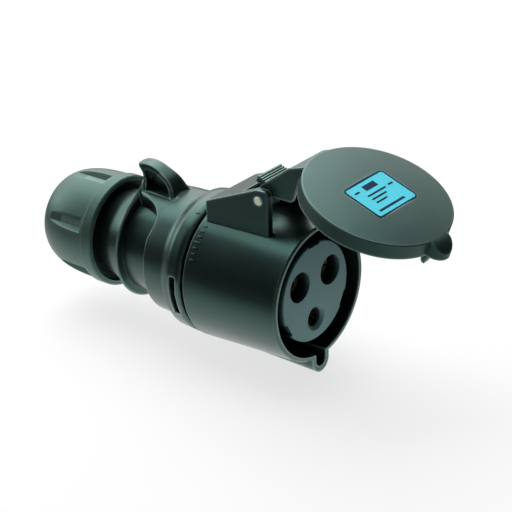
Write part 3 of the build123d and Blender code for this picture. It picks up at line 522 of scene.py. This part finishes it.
def groove_edge():
    """Front edge of the finger groove unrolled: the way round from the middle of the fin, and X.

    From the collar beside the fin the edge follows a quarter of an ellipse forwards to its crest. Half
    a cosine wave takes it back to a shallow dip, and another to its level place.
    """
    way = np.arange(EDGE_STARTS, math.pi * EDGE_R + EDGE_STEP, EDGE_STEP)
    share = np.clip((EDGE_CRESTS - way) / (EDGE_CRESTS - EDGE_STARTS), 0, 1)
    x = EDGE_START_X + (EDGE_CREST_X - EDGE_START_X) * np.sqrt(1 - share**2)
    x += (EDGE_DIP_X - EDGE_CREST_X) * eased(way, EDGE_CRESTS, EDGE_DIPS)
    x += (EDGE_LEVEL_X - EDGE_DIP_X) * eased(way, EDGE_DIPS, EDGE_LEVELS)
    return way, x


def rim_share(turn):
    """Radius of the collar's rim over its plain radius, where it rises in straight runs to the fin."""
    corners = np.array(COLLAR_CORNERS)
    ray = np.column_stack([np.sin(turn), np.cos(turn)])
    share = np.ones(len(turn))
    for (y0, z0), (y1, z1) in zip(corners[:-1], corners[1:]):
        a0, a1 = math.atan2(y0, z0), math.atan2(y1, z1)
        inside = (turn <= a0) & (turn >= a1)
        cross = (z1 - z0) * y0 - (y1 - y0) * z0
        share[inside] = cross / ((z1 - z0) * ray[inside, 0] - (y1 - y0) * ray[inside, 1])
    return share


def drop(away, rounding, slope):
    """Depth below an edge at a distance from it: a round edge that runs into a steep straight wall."""
    turn = math.atan(slope)
    reach = rounding * math.sin(turn)
    round_part = rounding - np.sqrt(np.maximum(rounding**2 - np.minimum(away, reach) ** 2, 0.0))
    return round_part + np.maximum(away - reach, 0.0) * slope


def ring_grid(x, radius, turn):
    """Grid of points from X, radius and the angle from the top towards the near side."""
    return np.stack([x, -radius * np.sin(turn), radius * np.cos(turn)], axis=-1)


def groove_filler():
    """Stock for the groove's finer edge: a band round the housing, its top just proud of the CAD face.

    The top is a cylinder that sinks at both ends next to the fin. The underside stays inside the
    housing's wall: it is level along the neck and rises with the inside of the ring.
    """
    turn = np.linspace(FILL_START, 2 * math.pi - FILL_START, FILL_ROUND)
    x = np.linspace(FILL_REAR_X, FILL_FRONT_X, FILL_ALONG)
    from_end = math.pi - abs(turn - math.pi) - FILL_START
    sink = np.clip(1 - from_end / FILL_FADE, 0, 1) ** 2
    turn, x = np.meshgrid(turn + FIN_TURN, x, indexing="ij")
    top = EDGE_R - FILL_SINK * sink[:, None] + 0 * x
    low = np.maximum(FILL_UNDER_R, FILL_FRONT_UNDER_R + FILL_SLOPE * (x - FILL_FRONT_X))
    return solid_between(ring_grid(x, low, turn), ring_grid(x, top, turn))


def groove_cutter():
    """Room of the finger groove as a closed solid.

    Its underside is a grid over the way round the neck and the way from the collar to the groove's
    front edge. Its radius is the largest of the floor, the front wall, which falls from the edge with
    the distance to it, and the collar's flank, which falls from the rim with the distance in front of
    it. A parabola rounds the foot where they meet the floor. Its top is plain.
    """
    edge_way, edge_x = groove_edge()
    way = np.concatenate(
        [
            np.linspace(EDGE_STARTS, NEAR_FIN, NEAR_COUNT),
            np.linspace(NEAR_FIN, math.pi * EDGE_R, ROUND_COUNT)[1:],
        ]
    )
    share = (1 - np.cos(np.linspace(0, math.pi, ALONG_COUNT))) / 2
    x = COLLAR_RIM_X + share[None, :] * (np.interp(way, edge_way, edge_x)[:, None] - COLLAR_RIM_X)
    turn = np.repeat(way[:, None] / EDGE_R, ALONG_COUNT, axis=1)
    places = np.stack([x, turn * EDGE_R], axis=-1)[:, :, None, :]
    line = np.column_stack([edge_x, edge_way])[None, None, ::2, :]
    away = np.sqrt(((places - line) ** 2).sum(axis=-1).min(axis=-1))
    wall = EDGE_R - drop(away, EDGE_ROUND, WALL_SLOPE)
    rim = COLLAR_R * rim_share(way / EDGE_R)[:, None]
    flank = rim - drop(x - COLLAR_RIM_X, RIM_ROUND, FLANK_SLOPE)
    rise = np.maximum(wall, flank) - NECK_R
    foot = np.clip(rise + FOOT_ROUND, 0.0, 2 * FOOT_ROUND) ** 2 / (4 * FOOT_ROUND)
    radius = NECK_R + np.where(rise > FOOT_ROUND, rise, foot)
    x = np.concatenate([x, x[-2::-1]])
    radius = np.concatenate([radius, radius[-2::-1]])
    turn = np.concatenate([turn, 2 * math.pi - turn[-2::-1]]) + FIN_TURN
    return solid_between(ring_grid(x, radius, turn), ring_grid(x, CUTTER_R, turn))


def tool_solid(name, points, faces):
    """Helper object for a cut, in no piece of the model."""
    mesh = bpy.data.meshes.new(name)
    mesh.from_pydata(points.tolist(), [], faces)
    tool = bpy.data.objects.new(name, mesh)
    bpy.context.scene.collection.objects.link(tool)
    outward(tool)
    return tool


def rear_shell():
    """Rear housing with the finger groove's edge, wall and collar flank in their finer form.

    It is the CAD piece's mesh with the filler joined to it and the cutter's room taken away.
    """
    mesh = frame["nodes"]["rear_housing"].data.copy()
    bm = bmesh.new()
    bm.from_mesh(mesh)
    bmesh.ops.remove_doubles(bm, verts=bm.verts, dist=WELD)
    bm.to_mesh(mesh)
    bm.free()
    obj = bpy.data.objects.new("rear_shell", mesh)
    bpy.context.scene.collection.objects.link(obj)
    tools = [tool_solid("groove_union", *groove_filler()), tool_solid("groove_difference", *groove_cutter())]
    for tool, operation in zip(tools, ("UNION", "DIFFERENCE")):
        cut = obj.modifiers.new(tool.name, "BOOLEAN")
        cut.operation = operation
        cut.solver = "EXACT"
        cut.object = tool
    made = bpy.data.meshes.new_from_object(obj.evaluated_get(bpy.context.evaluated_depsgraph_get()))
    obj.modifiers.clear()
    made.name = "rear_shell"
    obj.data = made
    for tool in tools:
        bpy.data.objects.remove(tool)
    made.materials.clear()
    made.materials.append(housing_black)
    for polygon in made.polygons:
        polygon.use_smooth = True
        polygon.material_index = 0
    made.set_sharp_from_angle(angle=math.radians(SHELL_SMOOTH))
    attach(obj, "rear")
    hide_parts("rear_housing")


rear_shell()

label_print()
raised_ticks("shroud_ticks", SHROUD_TICKS, shroud_radius, tick_black, "front")
raised_ticks("ring_tick", RING_TICKS, lambda x: RING_R + 0.0 * x, tick_black, "rear")
round_spring()


# ---- floor, lamps and camera ----
FLOOR_HALF, FLOOR_COLOUR = 6.0, (0.88, 0.89, 0.88, 1.0)
FLOOR_MIDDLE = 0.055                       # middle of the lit strip behind the mouth, and half its length
FLOOR_NEAR, FLOOR_FAR = 0.05, 0.14         # distances from the plug axis between which its light fades
FLOOR_GLOW, FLOOR_GLOW_FAR = 1.35, 0.08    # light it gives at those two distances
FLOOR_PLAIN = 0.72                         # share of plain white in what the camera sees
BACKDROP = (-0.62, 0.74, 0.12)
BACKDROP_LEVEL = (0.50, 0.94, 0.05, 1.8)   # cosines from, to, and the light at each
VIEW_TURNS = (39.56, 25.83, -2.20)         # azimuth, elevation and roll in degrees
VIEW_DISTANCE, LENS, SENSOR, CLIP_START = 0.68964, 147.035, 36.0, 0.01
AIM_LEFT, AIM_UP = 20.938 * MM, 12.041 * MM


def floor():
    """Plain pale floor under the keyway ridge.

    It is near white to the camera and takes a soft shadow. What shines on the object from it is white
    close to the connector and fades with the distance from the plug axis, as from a small table.
    """
    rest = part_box("front_housing")[0].z
    mesh = bpy.data.meshes.new("floor")
    corners = [(x * FLOOR_HALF, y * FLOOR_HALF, rest) for x, y in ((-1, -1), (1, -1), (1, 1), (-1, 1))]
    mesh.from_pydata(corners, [], [(0, 1, 2, 3)])
    obj = bpy.data.objects.new("floor", mesh)
    bpy.context.scene.collection.objects.link(obj)
    n = Nodes("floor_white")
    n.tree.nodes.remove(n.shader)
    out = n.tree.nodes["Material Output"]
    split = n.add("ShaderNodeSeparateXYZ")
    n.link(n.place, split.inputs[0])
    along = n.maths("ADD", split.outputs["X"], FLOOR_MIDDLE)
    beyond = n.maths("MAXIMUM", n.maths("SUBTRACT", n.maths("ABSOLUTE", along), FLOOR_MIDDLE), 0.0)
    away = n.maths(
        "SQRT",
        n.maths("ADD", n.maths("POWER", beyond, 2.0), n.maths("POWER", split.outputs["Y"], 2.0)),
    )
    near = n.spread(away, FLOOR_GLOW, FLOOR_GLOW_FAR, FLOOR_NEAR, FLOOR_FAR)
    lit = n.add("ShaderNodeBsdfDiffuse")
    lit.inputs["Color"].default_value = FLOOR_COLOUR
    glow = n.add("ShaderNodeEmission")
    n.link(near, glow.inputs["Strength"])
    plain = n.add("ShaderNodeEmission")
    path = n.add("ShaderNodeLightPath")
    seen = n.add("ShaderNodeMixShader")
    seen.inputs["Fac"].default_value = FLOOR_PLAIN
    n.link(lit.outputs[0], seen.inputs[1])
    n.link(plain.outputs[0], seen.inputs[2])
    mix = n.add("ShaderNodeMixShader")
    n.link(path.outputs["Is Camera Ray"], mix.inputs["Fac"])
    n.link(glow.outputs[0], mix.inputs[1])
    n.link(seen.outputs[0], mix.inputs[2])
    n.link(mix.outputs[0], out.inputs["Surface"])
    mesh.materials.append(n.material)


def lamp(name, place, target, size, radiance):
    """Square soft lamp that shines with a given radiance towards a point."""
    data = bpy.data.lights.new(name, "AREA")
    data.shape = "SQUARE"
    data.size = size
    data.energy = radiance * math.pi * size * size
    obj = bpy.data.objects.new(name, data)
    obj.location = place
    obj.rotation_euler = (Vector(target) - Vector(place)).to_track_quat("-Z", "Y").to_euler()
    bpy.context.scene.collection.objects.link(obj)


def world():
    """White to the camera. To all else a pale backdrop behind, which falls to dark in front.

    The level rises with the cosine of the angle between a direction and the backdrop's middle.
    """
    studio = bpy.data.worlds.new("studio")
    bpy.context.scene.world = studio
    studio.use_nodes = True
    tree = studio.node_tree
    back = tree.nodes["Background"]
    where = tree.nodes.new("ShaderNodeTexCoord")
    facing = tree.nodes.new("ShaderNodeVectorMath")
    facing.operation = "DOT_PRODUCT"
    facing.inputs[1].default_value = Vector(BACKDROP).normalized()
    tree.links.new(where.outputs["Generated"], facing.inputs[0])
    level = tree.nodes.new("ShaderNodeMapRange")
    level.interpolation_type = "SMOOTHSTEP"
    for key, number in zip(("From Min", "From Max", "To Min", "To Max"), BACKDROP_LEVEL):
        level.inputs[key].default_value = number
    tree.links.new(facing.outputs["Value"], level.inputs["Value"])
    path = tree.nodes.new("ShaderNodeLightPath")
    white = tree.nodes.new("ShaderNodeMix")
    white.inputs["B"].default_value = 1.0
    tree.links.new(path.outputs["Is Camera Ray"], white.inputs["Factor"])
    tree.links.new(level.outputs["Result"], white.inputs["A"])
    tree.links.new(white.outputs["Result"], back.inputs["Strength"])
    back.inputs["Color"].default_value = (1.0, 1.0, 1.0, 1.0)


def camera():
    """Long lens above the near side, looking down at the mouth from the right.

    The view axis passes left of and above the middle of the mouth, by the two aim offsets, and the
    picture's up axis leans by the roll.
    """
    azimuth, elevation, roll = (math.radians(a) for a in VIEW_TURNS)
    back = Vector(
        (
            math.sin(azimuth) * math.cos(elevation),
            -math.cos(azimuth) * math.cos(elevation),
            math.sin(elevation),
        )
    )
    level = Vector((0, 0, 1)).cross(back).normalized()
    upright = back.cross(level)
    right = math.cos(roll) * level + math.sin(roll) * upright
    up = -math.sin(roll) * level + math.cos(roll) * upright
    data = bpy.data.cameras.new("camera")
    data.sensor_width = SENSOR
    data.lens = LENS
    data.clip_start = CLIP_START
    obj = bpy.data.objects.new("camera", data)
    place = VIEW_DISTANCE * back - AIM_LEFT * right + AIM_UP * up
    turn = Matrix((right, up, back)).transposed()
    obj.matrix_world = Matrix.Translation(place) @ turn.to_4x4()
    bpy.context.scene.collection.objects.link(obj)
    bpy.context.scene.camera = obj


camera()
floor()
world()
lamp("overhead", (-0.36, 0.18, 0.64), (-0.05, 0.0, 0.0), 0.85, 3.6)
lamp("behind", (-0.72, -0.16, 0.26), (-0.07, 0.0, 0.0), 0.34, 4.6)
bpy.context.scene.view_settings.view_transform = "Standard"
